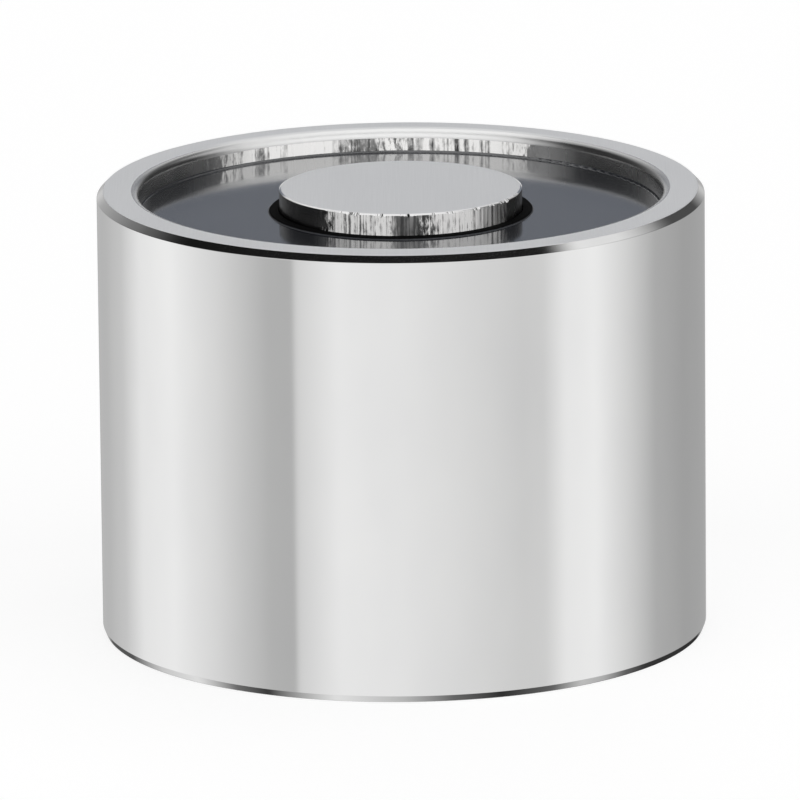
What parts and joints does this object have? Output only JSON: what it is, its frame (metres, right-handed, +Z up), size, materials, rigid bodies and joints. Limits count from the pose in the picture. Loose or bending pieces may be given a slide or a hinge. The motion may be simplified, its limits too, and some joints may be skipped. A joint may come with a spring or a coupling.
{
  "type": "holding electromagnet",
  "caption": "Round holding electromagnet: a polished steel cup with a flush central pole, a potted coil between them, a tapped hole in the base and a lead exit in the side.",
  "frame": {"origin": "centre of the underside, on the axis of the tapped hole", "axes": "+Z up the axis to the holding face, +Y through the lead exit"},
  "size_m": [0.06, 0.06, 0.0445],
  "materials": {
    "plated_steel": "polished nickel plate, satin on the ground rim",
    "pole_steel": "ground face, turned sides",
    "bobbin_nylon": "moulded black nylon",
    "enamelled_wire": "enamelled copper",
    "polyester_tape": "glossy film tape",
    "solder": "dull solder",
    "red_sleeve": "shrunk sleeve",
    "black_sleeve": "shrunk sleeve",
    "potting_resin": "glossy black epoxy",
    "bush_rubber": "moulded black rubber"
  },
  "bodies": {
    "root": {"housing_cup": "plated_steel", "pole_core": "pole_steel", "coil_bobbin": "bobbin_nylon", "coil_winding": "enamelled_wire", "winding_tape": "polyester_tape", "start_joint": "solder", "start_sleeve": "red_sleeve", "finish_joint": "solder", "finish_sleeve": "black_sleeve", "potting_compound": "potting_resin", "lead_bush": "bush_rubber"}
  },
  "joints": []
}
